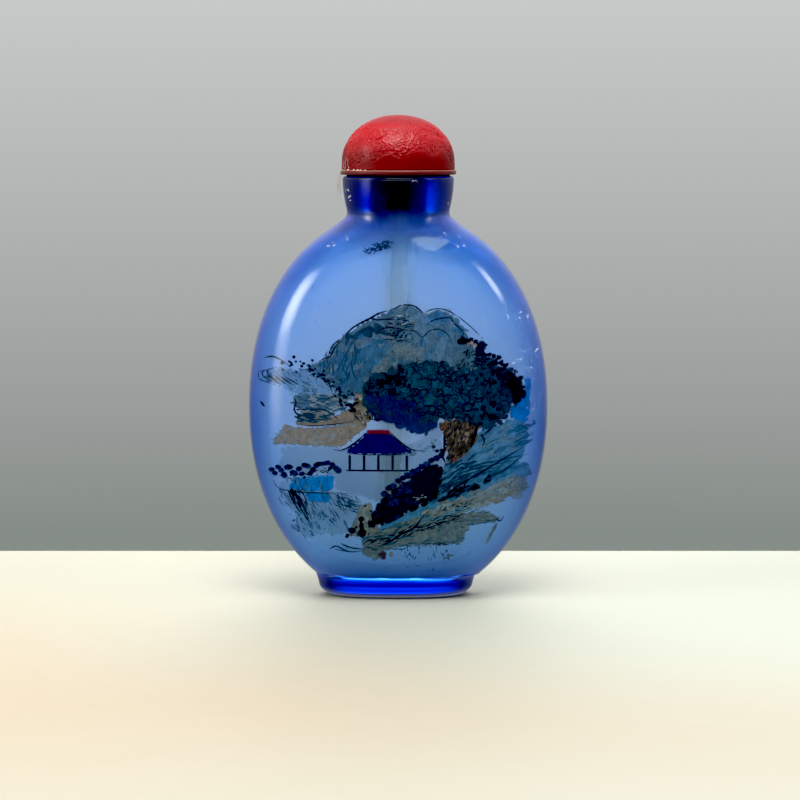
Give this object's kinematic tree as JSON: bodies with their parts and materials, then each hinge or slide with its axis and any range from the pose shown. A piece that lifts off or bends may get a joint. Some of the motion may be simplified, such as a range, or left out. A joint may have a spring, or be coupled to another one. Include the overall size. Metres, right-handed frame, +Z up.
{
  "type": "snuff bottle",
  "caption": "Flattened ovoid glass flask on an oval foot, with a round neck and a domed lift-off stopper that carries a long narrow spoon down into the hollow body.",
  "frame": {"origin": "centre of the foot's underside, on the surface the bottle stands on", "axes": "+Z up through the neck, X across the broad painted faces, +Y through the flattened thickness towards the back"},
  "size_m": [0.05, 0.026, 0.0803],
  "materials": {
    "glass": "cobalt blue, polished outside, frosted and painted inside",
    "cap": "waxy deep red, finely crackled",
    "collar": "red-brown, worn to copper along the edge",
    "plug": "matt black",
    "spoon": "pale ivory"
  },
  "bodies": {
    "root": {"bottle": "glass", "stopper_cap": "cap", "stopper_collar": "collar", "stopper_plug": "plug", "spoon": "spoon"}
  },
  "joints": []
}
